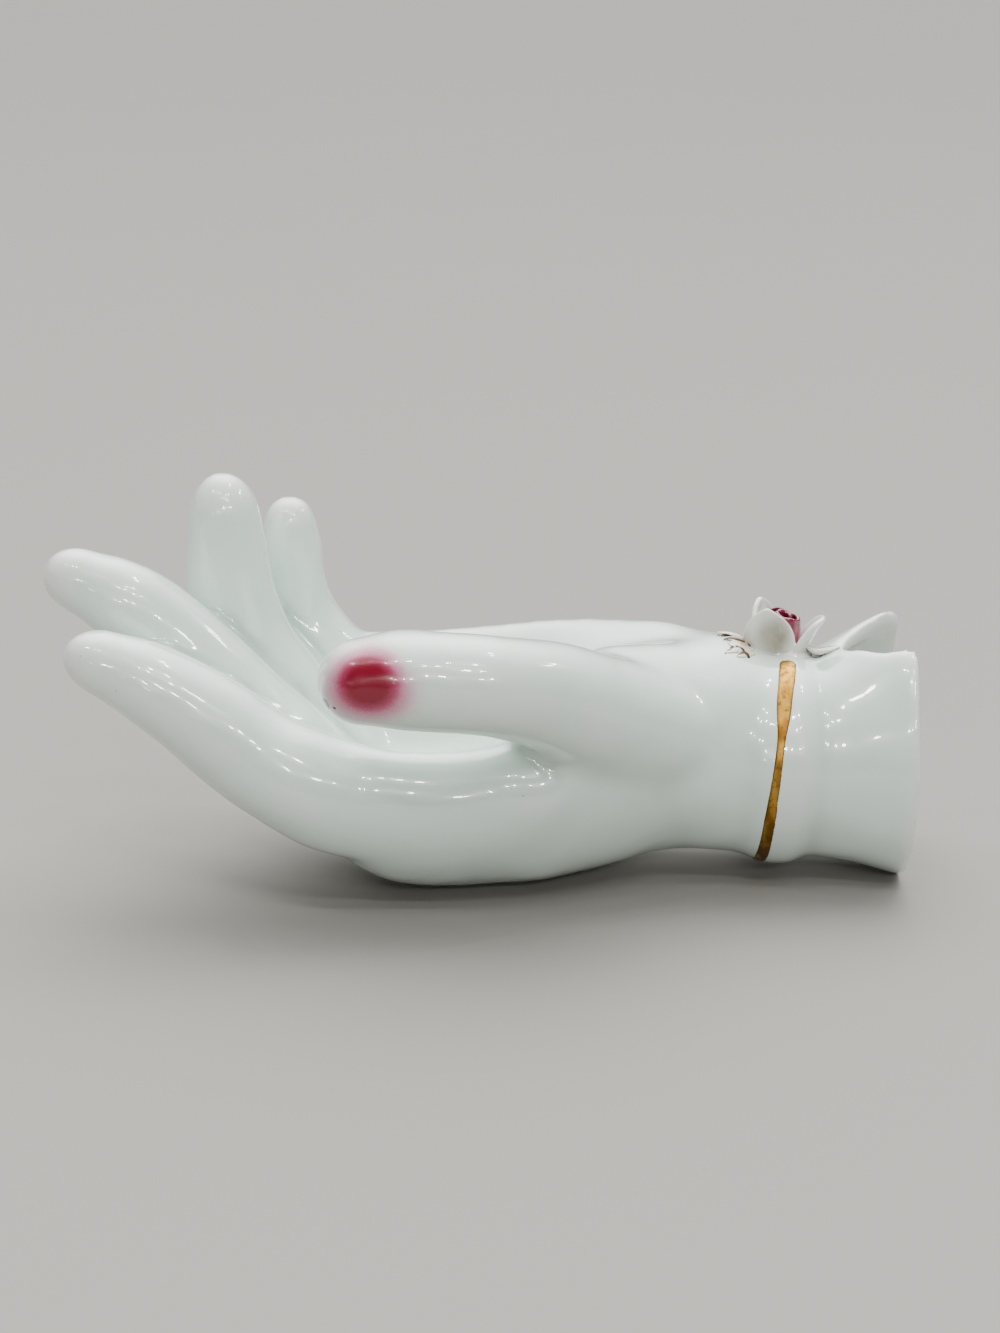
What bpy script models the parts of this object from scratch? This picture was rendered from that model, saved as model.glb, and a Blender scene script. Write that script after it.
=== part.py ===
"""A glazed porcelain hand, palm up, that holds rings on its fingers and small jewellery in its palm.

The hand is one hollow slip casting: a forearm with a turned-back cuff, a raised bracelet, a cupped palm, four
fingers and a thumb. A hand-built flower and its two leaves sit on the inside of the wrist. The fingers point along
-X, the thumb side faces -Y and the palm faces +Z. The origin lies on the table under the middle of the object.
Tables of stations are in millimetres, everything else is in metres, and angles are in degrees.
"""

import math

import bmesh
import bpy
import numpy as np
from mathutils import Matrix, Vector
from mathutils.bvhtree import BVHTree

MM = 0.001

# Forearm, from the open hem of the cuff back to the wrist. X places are where a ring crosses the arm's axis.
HEM_X = 0.0800
GROOVE_X = 0.0625
RIDGE_X = 0.0566
RIDGE_WIDTH = 0.0085
WRIST_X = 0.0430
HEM_RADIUS = 0.0208
GROOVE_RADIUS = 0.0192
RIDGE_RADIUS = 0.0206
WRIST_HALF_WIDTH = 0.0208
WRIST_HALF_HEIGHT = 0.0206
HEM_Z = 0.0199
GROOVE_Z = 0.0223
RIDGE_Z = 0.0225
WRIST_Z = 0.0250
ARM_LEAN = 0.03
# How much thinner the arm is halfway along the cuff's flare, and beside the bracelet.
FLARE_TUCK = 0.0004
NECK_TUCK = 0.0012

# The cuff's two lapels rise at the palm side and part in a notch that points at the wrist.
LAPEL_RISE = 0.0117
LAPEL_SPREAD = 50.0
LAPEL_TURN = 13.2
LAPEL_MIDDLE_SHARE = 0.58
NOTCH_X = 0.0668
NOTCH_NEAR_Y = -0.0085
NOTCH_FAR_Y = 0.0118
NOTCH_FLOOR_Z = 0.0370

# Palm and heel of the hand: cross-sections by their places on X. Each has twelve y, z points that go round from
# the little-finger side, over the palm, past the thumb side and back under the hand.
PALM = {
    34: [(22, 25), (20, 35.5), (13, 44.8), (2, 44.2), (-8.5, 45.8), (-17.5, 41), (-22.5, 31), (-21, 20),
         (-14, 9.5), (-3, 4.5), (11, 7.5), (19.5, 15.5)],
    22: [(26, 25), (25, 36), (18, 43.8), (4, 41), (-10, 46.5), (-21, 43), (-27, 33), (-25.5, 19), (-18, 7.2),
         (-5, 2.2), (12, 5.2), (23, 14)],
    13: [(29, 25.5), (27.8, 35.8), (20, 42.5), (4, 35), (-12, 41), (-25, 32.8), (-30.5, 25.5), (-28, 16),
         (-19.5, 5), (-6, 0.8), (11.5, 4), (24.5, 13.5)],
    6: [(30.5, 26), (29, 35.5), (21, 41), (4, 29), (-15, 31), (-25, 32.5), (-31.5, 26), (-29.5, 15), (-20, 4.4),
        (-6, 0.2), (11, 3), (25, 13)],
    -8: [(31.5, 26.5), (29.5, 35), (22, 38.5), (3, 21), (-15, 24.5), (-24.5, 30.8), (-31.5, 24), (-30, 13),
         (-20, 3.4), (-6, -0.4), (11, 2.8), (26, 14)],
    -20: [(31, 28), (28.5, 35.5), (21.5, 38), (3, 21), (-15, 25), (-24.5, 32), (-31.5, 25), (-30, 14.5),
          (-20.5, 5.6), (-5, 2.4), (12, 6), (26, 18)],
    -32: [(29, 32), (26, 37.5), (19, 37.5), (2, 28), (-14, 31), (-24, 35.5), (-30.5, 29), (-28.5, 20), (-19, 14),
          (-3, 12), (13, 16), (25, 25)],
}

# Fingers and thumb: centre line stations x, y, z, radius, and how far the rounded tip reaches past the last one.
FINGERS = {
    "index": ([(-6, -19, 14, 8), (-17, -21.5, 18.5, 9.8), (-26, -23, 21.8, 10.6), (-33, -24, 25.5, 10.2),
               (-40, -24, 29.5, 9.5), (-48, -24, 36, 8.9), (-54, -24, 40.3, 8.2), (-60, -24, 44, 7.4),
               (-66, -24, 46.6, 6.1)], 8.6),
    "middle": ([(-14, -4, 11, 5), (-25, -6, 16, 7.6), (-34.5, -7.3, 24.8, 8.9), (-42, -8, 32, 8.8),
                (-49, -8, 39.2, 8.7), (-55, -8, 45.2, 8.5), (-61, -8, 50.7, 8.1), (-67, -8, 54.8, 7.5),
                (-72.5, -8, 57.4, 6.2)], 7.9),
    "ring": ([(-14, 5, 11, 5), (-26, 6.5, 18, 7.8), (-37, 7.7, 29.5, 9.4), (-44.5, 8, 40.2, 9.3), (-47.5, 8, 50, 8.8),
              (-48.2, 8, 58, 8.0), (-48.5, 8, 65, 7.0)], 9.6),
    "little": ([(-12, 17, 22, 7), (-27.5, 20.5, 31.5, 8.4), (-35, 22, 42, 7.1), (-37, 22, 50, 6.4),
                (-37.2, 22, 56, 6.3), (-37.5, 22, 61, 5.5)], 6.0),
    "thumb": ([(42, -8.5, 27.5, 11), (33, -12.5, 31, 11.4), (23, -19, 36, 11.2), (13, -26.2, 42, 10.2),
               (3, -32.4, 46, 9.1), (-6, -34, 47.3, 8.9), (-14, -34, 47.6, 8.9), (-20.5, -34, 47.3, 7.9)], 8.0),
}

# The casting's hollow behind the palm: x, y, z, half width and half height of each ellipse. WALL is the wall of the
# forearm. The hollow narrows to a point behind the knuckles, and the fingers are solid.
WALL = 0.0033
HOLLOW = [(34, 0, 24.6, 17.5, 15.2), (20, 0, 21.5, 19, 14), (6, -2, 14.3, 20.5, 10.3), (-8, -3, 10.4, 20, 6.7),
          (-19, -3, 11.6, 15, 5.2), (-27, -3, 14.5, 6, 2.2)]

# Flower: the place of its axis, and its bud. The bud is rolled from a sheet, so its section has lobes that twist.
FLOWER_X = 0.0562
FLOWER_Y = 0.0006
BUD_RADIUS = 0.0032
BUD_HEIGHT = 0.0076
BUD_LOBES = 3
BUD_TWIST = 220.0
# Petals: which way each faces round the axis, lean from upright, half angle, height and distance from the axis.
PETALS = {
    "petal_front": (-134, 2, 64, 0.0092, 0.0054),
    "petal_left": (116, 13, 40, 0.0076, 0.0046),
    "petal_right": (10, 28, 42, 0.0064, 0.0041),
}
PETAL_CUP = 0.0007
PETAL_THICKNESS = 0.0012
PETAL_FOOT = 0.0016
# Leaves: the place of the stalk end from the flower's axis, heading, length and half width.
LEAVES = {
    "leaf_left": (-0.0077, -0.0013, 178, 0.0044, 0.0042),
    "leaf_right": (0.0056, -0.0003, -4, 0.0048, 0.0024),
}
LEAF_THICKNESS = 0.0009

# Clearance kept between the flower's pieces and what they sit on.
GAP = 0.0003
# How far the cutting tools reach past what they cut.
CLEAR = 0.0100

# Clay: the voxel size of the casting, the passes that round off its joins, and their strength: SOFT_LEAST far from
# the finger roots, 1 at them, and SOFT_ARM on the forearm, which starts at ARM_FROM_X.
VOXEL = 0.0008
BLEND_PASSES = 30
SOFT_REACH = 0.013
SOFT_LEAST = 0.30
SOFT_ARM = 0.12
ARM_FROM_X = 0.0300
HAND_TRIANGLES = 8600

PORCELAIN = (0.80, 0.84, 0.81, 1)
CRIMSON = (0.30, 0.02, 0.06, 1)
LEAF_CREAM = (0.72, 0.71, 0.62, 1)


def catmull(p, steps):
    """The spans of a Catmull-Rom curve between p[1] and p[-2]."""
    t = np.linspace(0, 1, steps, endpoint=False)[:, None]
    spans = []
    for a, b, c, d in zip(p, p[1:], p[2:], p[3:]):
        spans.append(0.5 * (2 * b + (c - a) * t + (2 * a - 5 * b + 4 * c - d) * t**2 + (3 * b - a - 3 * c + d) * t**3))
    return np.vstack(spans)


def open_curve(points, steps):
    p = np.array(points, float)
    p = np.vstack([2 * p[0] - p[1], p, 2 * p[-1] - p[-2]])
    return np.vstack([catmull(p, steps), p[-2]])


def closed_curve(points, steps):
    p = np.array(points, float)
    return catmull(np.vstack([p[-1], p, p[:2]]), steps)


def new_mesh(name, bm):
    bmesh.ops.recalc_face_normals(bm, faces=bm.faces)
    mesh = bpy.data.meshes.new(name)
    bm.to_mesh(mesh)
    bm.free()
    return mesh


def loft(name, rings):
    """A closed mesh through rings of equal point counts, with flat ends."""
    bm = bmesh.new()
    rows = [[bm.verts.new(point) for point in ring] for ring in rings]
    for a, b in zip(rows, rows[1:]):
        for i in range(len(a)):
            bm.faces.new((a[i - 1], a[i], b[i], b[i - 1]))
    bm.faces.new(rows[0])
    bm.faces.new(rows[-1])
    return new_mesh(name, bm)


def smooth_loft(name, rings, steps):
    """A loft whose rings are joined by smooth curves."""
    rings = np.array(rings, float)
    rows = open_curve(rings.reshape(len(rings), -1), steps)
    return loft(name, rows.reshape(len(rows), -1, 3))


def rounded_tube(name, stations, tip):
    """A tube along stations of x, y, z and radius, made as a bevelled curve that ends in a half ellipsoid."""
    path = open_curve(np.array(stations) * MM, 6)
    ahead = path[-1, :3] - path[-2, :3]
    ahead /= np.linalg.norm(ahead)
    turns = np.radians(np.linspace(11, 88, 8))
    cap = [[*(path[-1, :3] + ahead * tip * MM * math.sin(a)), path[-1, 3] * math.cos(a)] for a in turns]
    path = np.vstack([path, cap])
    curve = bpy.data.curves.new(name, "CURVE")
    curve.dimensions = "3D"
    curve.bevel_depth = 1.0
    curve.bevel_resolution = 6
    curve.use_fill_caps = True
    spline = curve.splines.new("POLY")
    spline.points.add(len(path) - 1)
    for point, (x, y, z, radius) in zip(spline.points, path):
        point.co = (x, y, z, 1)
        point.radius = radius
    holder = bpy.data.objects.new(name, curve)
    mesh = baked(holder)
    bpy.data.objects.remove(holder)
    return mesh


def baked(obj):
    """The object's mesh with its modifiers applied, as a new mesh."""
    scene = bpy.context.scene.collection
    loose = not obj.users_collection
    if loose:
        scene.objects.link(obj)
    bpy.context.view_layer.update()
    graph = bpy.context.evaluated_depsgraph_get()
    mesh = bpy.data.meshes.new_from_object(obj.evaluated_get(graph))
    if loose:
        scene.objects.unlink(obj)
    return mesh


def ellipse_ring(x, y, z, half_width, half_height, lean=0.0, rise=0.0, count=48):
    """A ring round the arm. Its top leans towards +X by lean, and rises by rise around LAPEL_TURN from upright."""
    ring = []
    for i in range(count):
        a = 2 * math.pi * i / count
        from_top = math.degrees((a - math.pi / 2 + math.pi) % (2 * math.pi) - math.pi) + LAPEL_TURN
        extra = rise * math.exp(-((from_top / LAPEL_SPREAD) ** 2))
        up = (half_height + extra) * math.sin(a)
        ring.append((x + lean * up, y + (half_width + extra) * math.cos(a), z + up))
    return ring


def forearm_rings(inset, end, count=48):
    """Rings from the hem to the wrist, inset from the outside. The first lies at x = end."""
    half = RIDGE_WIDTH / 2
    flare_x = (end + GROOVE_X) / 2
    flare = (HEM_RADIUS + GROOVE_RADIUS) / 2 - FLARE_TUCK
    sizes = [
        (end, HEM_Z, HEM_RADIUS, HEM_RADIUS, 0, LAPEL_RISE),
        (flare_x, (HEM_Z + GROOVE_Z) / 2, flare, flare, ARM_LEAN / 2,
         LAPEL_RISE * LAPEL_MIDDLE_SHARE),
        (GROOVE_X, GROOVE_Z, GROOVE_RADIUS, GROOVE_RADIUS, ARM_LEAN, LAPEL_RISE / 12),
        (RIDGE_X + half * 0.6, RIDGE_Z, RIDGE_RADIUS, RIDGE_RADIUS, ARM_LEAN, 0),
        (RIDGE_X - half * 0.6, RIDGE_Z, RIDGE_RADIUS, RIDGE_RADIUS, ARM_LEAN, 0),
        (RIDGE_X - half * 1.6, (RIDGE_Z + WRIST_Z) / 2, WRIST_HALF_WIDTH - NECK_TUCK, WRIST_HALF_HEIGHT - NECK_TUCK / 2,
         0.08, 0),
        (WRIST_X, WRIST_Z, WRIST_HALF_WIDTH, WRIST_HALF_HEIGHT, 0.04, 0),
    ]
    return [ellipse_ring(x, 0, z, w - inset, h - inset, lean, rise, count) for x, z, w, h, lean, rise in sizes]


def box_mesh(name, low, high):
    bm = bmesh.new()
    bmesh.ops.create_cube(bm, size=1)
    for v in bm.verts:
        v.co = [low[k] if v.co[k] < 0 else high[k] for k in range(3)]
    return new_mesh(name, bm)


def cutter(name, mesh, group):
    obj = bpy.data.objects.new(name, mesh)
    obj.hide_render = True
    obj.display_type = "WIRE"
    group.objects.link(obj)
    return obj


def cut(obj, tool, operation="DIFFERENCE"):
    modifier = obj.modifiers.new(tool.name, "BOOLEAN")
    modifier.operation = operation
    modifier.solver = "EXACT"
    modifier.object = tool


def rebake(obj):
    """Applies the object's modifiers."""
    mesh = baked(obj)
    obj.modifiers.clear()
    obj.data = mesh


def blend(obj, roots):
    """Smooths the clay: fully round the finger roots, lightly elsewhere and least of all along the forearm."""
    group = obj.vertex_groups.new(name="soft")
    for vertex in obj.data.vertices:
        near = min((vertex.co - root).length for root in roots)
        hand = SOFT_LEAST + (1 - SOFT_LEAST) * math.exp(-((near / SOFT_REACH) ** 2))
        arm = min(max((vertex.co.x - ARM_FROM_X) / (WRIST_X - ARM_FROM_X), 0), 1)
        group.add([vertex.index], hand * (1 - arm) + SOFT_ARM * arm, "REPLACE")
    modifier = obj.modifiers.new("blend", "SMOOTH")
    modifier.factor = 0.5
    modifier.iterations = BLEND_PASSES
    modifier.vertex_group = group.name
    rebake(obj)
    obj.vertex_groups.clear()


def cast_hand():
    """The solid hand: forearm, palm, fingers and thumb pressed into one clay, with its joins rounded."""
    arm = forearm_rings(0, HEM_X + 0.002)
    palm = [[(x * MM, y * MM, z * MM) for y, z in closed_curve(points, 4)] for x, points in PALM.items()]
    joined = bmesh.new()
    joined.from_mesh(smooth_loft("palm", arm + palm, 5))
    for name, (stations, tip) in FINGERS.items():
        joined.from_mesh(rounded_tube(name, stations, tip))
    mesh = bpy.data.meshes.new("hand")
    joined.to_mesh(mesh)
    joined.free()
    hand = bpy.data.objects.new("hand", mesh)
    bpy.context.scene.collection.objects.link(hand)
    clay = hand.modifiers.new("clay", "REMESH")
    clay.mode = "VOXEL"
    clay.voxel_size = VOXEL
    rebake(hand)
    roots = [Vector(stations[k][:3]) * MM for stations, _ in FINGERS.values() for k in (2, 3)]
    blend(hand, roots)
    thin = hand.modifiers.new("thin", "DECIMATE")
    hand.data.calc_loop_triangles()
    thin.ratio = HAND_TRIANGLES / len(hand.data.loop_triangles)
    rebake(hand)
    return hand


def open_hand(hand, cutters):
    """Hollows the casting from the hem, parts the lapels, and trims it to the table and to a flat hem."""
    hollow = forearm_rings(WALL, HEM_X + 0.004, 32)
    hollow += [ellipse_ring(*(v * MM for v in row), count=32) for row in HOLLOW]
    cut(hand, cutter("hollow", smooth_loft("hollow", hollow, 2), cutters))
    reach = HEM_X + CLEAR
    grow = (reach - NOTCH_X) / (HEM_X - NOTCH_X)
    wedge = [(NOTCH_X, 0), (reach, NOTCH_NEAR_Y * grow), (reach, NOTCH_FAR_Y * grow)]
    wedge = [[(x, y, z) for x, y in wedge] for z in (NOTCH_FLOOR_Z, HEM_Z + HEM_RADIUS + LAPEL_RISE + CLEAR)]
    cut(hand, cutter("notch", loft("notch", wedge), cutters))
    far = 0.2
    cut(hand, cutter("table", box_mesh("table", (-far, -far, -far), (far, far, 0)), cutters))
    cut(hand, cutter("hem", box_mesh("hem", (HEM_X, -far, -far), (far, far, far)), cutters))
    rebake(hand)


def rooted(point, axis_z, ground, u):
    """The point, lowered near the foot as far as the casting falls away there. u runs from the foot to the tip."""
    x, y, z = point
    return (x, y, z + (ground(x, y) - axis_z) * (1 - u) ** 2)


def petal_rings(ground, axis, facing, lean, half_angle, height, radius):
    """Thin lens-shaped rings from the petal's foot to its pointed tip, wrapped round the flower's axis."""
    rings = []
    for u in np.linspace(0, 1, 10):
        up = u * (height + PETAL_FOOT) - PETAL_FOOT
        out = radius + PETAL_CUP * math.sin(math.pi * u) + math.tan(math.radians(lean)) * max(up, 0) * u
        reach = math.radians(half_angle) * (0.6 + 0.4 * min(u / 0.3, 1)) * (1.02 - u**3) ** 0.9
        outer, inner = [], []
        for v in np.linspace(-1, 1, 8):
            a = math.radians(facing) + v * reach
            thick = PETAL_THICKNESS * (1 - 0.4 * u) * (1 - 0.6 * v**4) / 2
            for side, row in ((1, outer), (-1, inner)):
                r = out + side * thick
                point = (axis[0] + r * math.cos(a), axis[1] + r * math.sin(a), axis[2] + up)
                row.append(rooted(point, axis[2], ground, u))
        rings.append(outer + inner[::-1])
    return rings


def bud_rings(ground, axis, count=24):
    rings = []
    for u in np.linspace(0, 1, 10):
        up = u * (BUD_HEIGHT + PETAL_FOOT) - PETAL_FOOT
        girth = BUD_RADIUS * (0.6 + 0.4 * min(u / 0.4, 1)) * (1.03 - u**5) ** 0.5
        ring = []
        for i in range(count):
            a = 2 * math.pi * i / count
            r = girth * (1 + 0.10 * math.cos(BUD_LOBES * a + math.radians(BUD_TWIST) * u))
            point = (axis[0] + r * math.cos(a), axis[1] + r * math.sin(a), axis[2] + up)
            ring.append(rooted(point, axis[2], ground, u))
        rings.append(ring)
    return rings


def leaf_rings(ground, start_x, start_y, heading, length, half_width):
    """Rings across a leaf that lies on the wrist, following it at the gap."""
    along = (math.cos(math.radians(heading)), math.sin(math.radians(heading)))
    rings = []
    for u in np.linspace(0.02, 0.98, 9):
        reach = half_width * math.sin(math.pi * (0.35 + 0.65 * u))
        low, high = [], []
        for v in np.linspace(-1, 1, 7):
            x = FLOWER_X + start_x + along[0] * u * length - along[1] * v * reach
            y = FLOWER_Y + start_y + along[1] * u * length + along[0] * v * reach
            z = ground(x, y) + 1.6 * GAP
            low.append((x, y, z))
            high.append((x, y, z + LEAF_THICKNESS * (1 - 0.6 * v**2)))
        rings.append(low + high[::-1])
    return rings


def material(name, colour, roughness=0.12):
    mat = bpy.data.materials.new(name)
    mat.use_nodes = True
    shader = mat.node_tree.nodes["Principled BSDF"]
    shader.inputs["Base Color"].default_value = colour
    shader.inputs["Roughness"].default_value = roughness
    shader.inputs["Coat Weight"].default_value = 1.0
    return mat


def node(name, mesh, colour, group):
    mesh.materials.clear()
    mesh.materials.append(material(name, colour))
    obj = bpy.data.objects.new(name, mesh)
    group.objects.link(obj)
    return obj


def main():
    for obj in list(bpy.data.objects):
        bpy.data.objects.remove(obj)
    cutters = bpy.data.collections.new("cutters")
    bpy.context.scene.collection.children.link(cutters)
    group = bpy.data.collections.new("hand_jewelry_stand")
    bpy.context.scene.collection.children.link(group)
    hand = cast_hand()
    open_hand(hand, cutters)
    bpy.context.scene.collection.objects.unlink(hand)
    group.objects.link(hand)
    hand.data.materials.clear()
    hand.data.materials.append(material("hand", PORCELAIN))

    casting = BVHTree.FromObject(hand, bpy.context.evaluated_depsgraph_get())

    def ground(x, y):
        return casting.ray_cast(Vector((x, y, 0.2)), Vector((0, 0, -1)))[0].z

    axis = (FLOWER_X, FLOWER_Y, ground(FLOWER_X, FLOWER_Y))
    swollen = cutter("casting_with_gap", hand.data.copy(), cutters)
    swell = swollen.modifiers.new("gap", "DISPLACE")
    swell.strength = GAP
    swell.mid_level = 0
    pieces = [node("flower_bud", loft("flower_bud", bud_rings(ground, axis)), CRIMSON, group)]
    for name, sizes in PETALS.items():
        pieces.append(node(name, loft(name, petal_rings(ground, axis, *sizes)), PORCELAIN, group))
    for piece in pieces:
        cut(piece, swollen)
    for name, sizes in LEAVES.items():
        node(name, loft(name, leaf_rings(ground, *sizes)), LEAF_CREAM, group)

    # The hand was drawn round its arm. Everything moves together, so that the origin is under the box's middle.
    points = np.array([vertex.co for vertex in hand.data.vertices])
    middle = (points.min(axis=0) + points.max(axis=0)) / 2
    shift = Matrix.Translation((-middle[0], -middle[1], 0))
    for obj in [*group.objects, *cutters.objects]:
        obj.data.transform(shift)


main()
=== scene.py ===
# %% [markdown]
# # A porcelain hand that holds jewellery
#
# The real object is one hollow slip casting of a left hand that lies palm up, with a turned-back cuff, a
# raised bracelet and a hand-built flower on the wrist. A clear, faintly green glaze covers it. The thumb
# nail is sprayed crimson, and a line of bright gold is brushed round the bracelet.
#
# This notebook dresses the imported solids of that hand. It first loads them as a frame that never moves.
# Every piece that is made later is placed in the frame's own metres: fingers point along -X, the thumb
# side faces -Y and the palm faces +Z.

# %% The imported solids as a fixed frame
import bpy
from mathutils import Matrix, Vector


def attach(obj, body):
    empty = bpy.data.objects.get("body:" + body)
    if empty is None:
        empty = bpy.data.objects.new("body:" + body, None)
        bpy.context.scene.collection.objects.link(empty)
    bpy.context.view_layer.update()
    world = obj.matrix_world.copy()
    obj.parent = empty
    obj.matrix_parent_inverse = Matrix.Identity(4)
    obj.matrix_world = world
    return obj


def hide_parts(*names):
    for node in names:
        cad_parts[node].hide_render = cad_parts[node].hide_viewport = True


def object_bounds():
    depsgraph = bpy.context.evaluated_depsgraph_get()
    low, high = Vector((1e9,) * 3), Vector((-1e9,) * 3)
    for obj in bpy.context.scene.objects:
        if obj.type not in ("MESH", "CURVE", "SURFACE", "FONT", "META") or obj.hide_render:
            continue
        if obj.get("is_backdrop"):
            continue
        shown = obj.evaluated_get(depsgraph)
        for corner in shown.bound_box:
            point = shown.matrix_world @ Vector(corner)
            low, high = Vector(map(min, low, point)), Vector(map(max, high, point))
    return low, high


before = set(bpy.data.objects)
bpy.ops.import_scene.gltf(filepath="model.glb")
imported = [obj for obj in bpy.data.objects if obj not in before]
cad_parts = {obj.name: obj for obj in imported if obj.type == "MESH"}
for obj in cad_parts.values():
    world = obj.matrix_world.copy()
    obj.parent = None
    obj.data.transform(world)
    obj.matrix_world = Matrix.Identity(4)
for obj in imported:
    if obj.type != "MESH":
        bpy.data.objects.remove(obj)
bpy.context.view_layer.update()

print("solids:", sorted(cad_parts))

# %% Tools that the lesson needs
import math

import bmesh
import bpy
import numpy as np
from mathutils import Matrix, Vector, noise
from mathutils.bvhtree import BVHTree

MM = 0.001
# The hand was drawn round the axis of its arm. The frame's origin lies under the middle of the whole
# hand, so all that is drawn moves by this much along Y.
ARM_AXIS_Y = 5.65


def drawn(x, y, z):
    """A place of the drawing, in millimetres, as a point of the frame, in metres."""
    return Vector((x, y + ARM_AXIS_Y, z)) * MM


print("the arm's axis lies", ARM_AXIS_Y, "mm from the middle of the hand")

# %% [markdown]
# ## Camera
#
# The photograph was taken with a phone from a little above the hand, almost square to its side. Three
# facts fix such a view: where the camera stands, how far it tips down, and how long its lens is. The lens
# is given in the units of Blender's 36 mm sensor, which belongs to the long side of the picture. The
# picture is 1000 by 1333, and the lens throws 2400 of its pixels for each unit of slope. The phone also
# leaned by half a degree.

# %% Camera
SENSOR = 36
PICTURE_HEIGHT = 1333
PIXELS_PER_SLOPE = 2400
TIP_DOWN = 17.712
LEAN_OF_PHONE = 0.5
PHONE_STANDS = (0.003473, -0.42411, 0.17665)

camera = bpy.data.objects.new("camera", bpy.data.cameras.new("camera"))
bpy.context.scene.collection.objects.link(camera)
camera.data.sensor_width = SENSOR
camera.data.lens = SENSOR * PIXELS_PER_SLOPE / PICTURE_HEIGHT
camera.data.clip_start = 0.01
camera.matrix_world = (
    Matrix.Translation(PHONE_STANDS)
    @ Matrix.Rotation(math.radians(90 - TIP_DOWN), 4, "X")
    @ Matrix.Rotation(math.radians(LEAN_OF_PHONE), 4, "Z")
)
bpy.context.scene.camera = camera
print("lens", round(camera.data.lens, 2), "mm")

# %% [markdown]
# ## Materials from short sums
#
# A material is a network of nodes. Written by hand, each sum in it takes several lines, so two small
# classes do the wiring. A `Wire` is a value that comes out of a node: adding, taking away or multiplying
# wires adds the Math nodes for it. A `Finish` is one material, and its `node` method adds any other node:
# its settings first, then the values or wires of its sockets. Math nodes work on plain values and would
# turn a colour grey, so colours and places go through Mix and Vector Math nodes instead.

# %% Wires and finishes


class Wire:
    """A value that comes out of a node of a finish."""

    def __init__(self, finish, socket):
        self.finish, self.socket = finish, socket

    def sum(self, operation, a, b=0.0, clamp=False):
        settings = {"operation": operation, "use_clamp": clamp}
        return self.finish.node("ShaderNodeMath", settings, {0: a, 1: b})

    def __add__(self, other):
        return self.sum("ADD", self, other)

    def __sub__(self, other):
        return self.sum("SUBTRACT", self, other)

    def __rsub__(self, other):
        return self.sum("SUBTRACT", other, self)

    def __mul__(self, other):
        return self.sum("MULTIPLY", self, other)

    def held(self):
        """The value, held between 0 and 1."""
        return self.sum("ADD", self, 0.0, clamp=True)

    __radd__ = __add__
    __rmul__ = __mul__


class Finish:
    """One material. Its shader's sockets take plain values or wires."""

    def __init__(self, name):
        self.material = bpy.data.materials.new(name)
        self.material.use_nodes = True
        self.tree = self.material.node_tree
        self.shader = self.tree.nodes["Principled BSDF"]

    def plug(self, socket, value):
        if isinstance(value, Wire):
            self.tree.links.new(value.socket, socket)
        else:
            socket.default_value = value

    def node(self, kind, settings, sockets, out=0):
        """A node of any kind: its settings are set before its sockets are filled."""
        made = self.tree.nodes.new(kind)
        for name, value in settings.items():
            if name == "stops":
                ramp = made.color_ramp.elements
                while len(ramp) < len(value):
                    ramp.new(0.5)
                for stop, (place, colour) in zip(ramp, value):
                    stop.position, stop.color = place, colour
            else:
                setattr(made, name, value)
        for name, value in sockets.items():
            self.plug(made.inputs[name], value)
        return Wire(self, made.outputs[out])

    def place(self):
        """Where a point of the surface lies in the frame, in metres."""
        return self.node("ShaderNodeTexCoord", {}, {}, out="Object")

    def noise(self, size_mm, detail=2.0, roughness=0.5, stretch=(1, 1, 1)):
        """Soft cloudy noise from 0 to 1. Its patches are about size_mm wide."""
        scale = [s / (size_mm * MM) for s in stretch]
        wide = self.node("ShaderNodeVectorMath", {"operation": "MULTIPLY"}, {0: self.place(), 1: scale})
        sockets = {"Vector": wide, "Scale": 1.0, "Detail": detail, "Roughness": roughness}
        return self.node("ShaderNodeTexNoise", {}, sockets)

    def spot(self, centre, reach, edge=1.0):
        """1 at a point of the frame, 0 beyond an ellipsoid round it whose half sizes, in mm, are reach.

        It fades over the outer part of the way that edge gives.
        """
        away = self.node("ShaderNodeVectorMath", {"operation": "SUBTRACT"}, {0: self.place(), 1: centre})
        shares = self.node(
            "ShaderNodeVectorMath", {"operation": "MULTIPLY"}, {0: away, 1: [1 / (r * MM) for r in reach]}
        )
        far = self.node("ShaderNodeVectorMath", {"operation": "LENGTH"}, {0: shares}, out="Value")
        sockets = {"Value": far, "From Min": 1.0, "From Max": 1.0 - edge}
        return self.node("ShaderNodeMapRange", {"interpolation_type": "SMOOTHSTEP"}, sockets)

    def between(self, value, low, high):
        """0 at low, 1 at high and smooth between them. With low above high it falls instead of rising."""
        sockets = {"Value": value, "From Min": low, "From Max": high}
        return self.node("ShaderNodeMapRange", {"interpolation_type": "SMOOTHSTEP"}, sockets)

    def blend(self, share, a, b):
        """Colour a where share is 0 and colour b where it is 1."""
        return self.node("ShaderNodeMix", {"data_type": "RGBA"}, {0: share, 6: a, 7: b}, out=2)

    def painted(self, name):
        """A value that was worked out for each point of the mesh and kept on it under this name."""
        return self.node("ShaderNodeAttribute", {"attribute_name": name}, {}, out="Fac")

    def bump(self, height, depth_mm, under=None):
        """A relief that is depth_mm deep where height goes from 0 to 1."""
        sockets = {"Height": height, "Distance": depth_mm * MM, "Strength": 1.0}
        if under is not None:
            sockets["Normal"] = under
        return self.node("ShaderNodeBump", {}, sockets)

    def shade(self, **sockets):
        for name, value in sockets.items():
            self.plug(self.shader.inputs[name.replace("_", " ")], value)
        return self.material


print("a finish starts with", len(Finish("sample").tree.nodes), "nodes")
bpy.data.materials.remove(bpy.data.materials["sample"])

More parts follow.
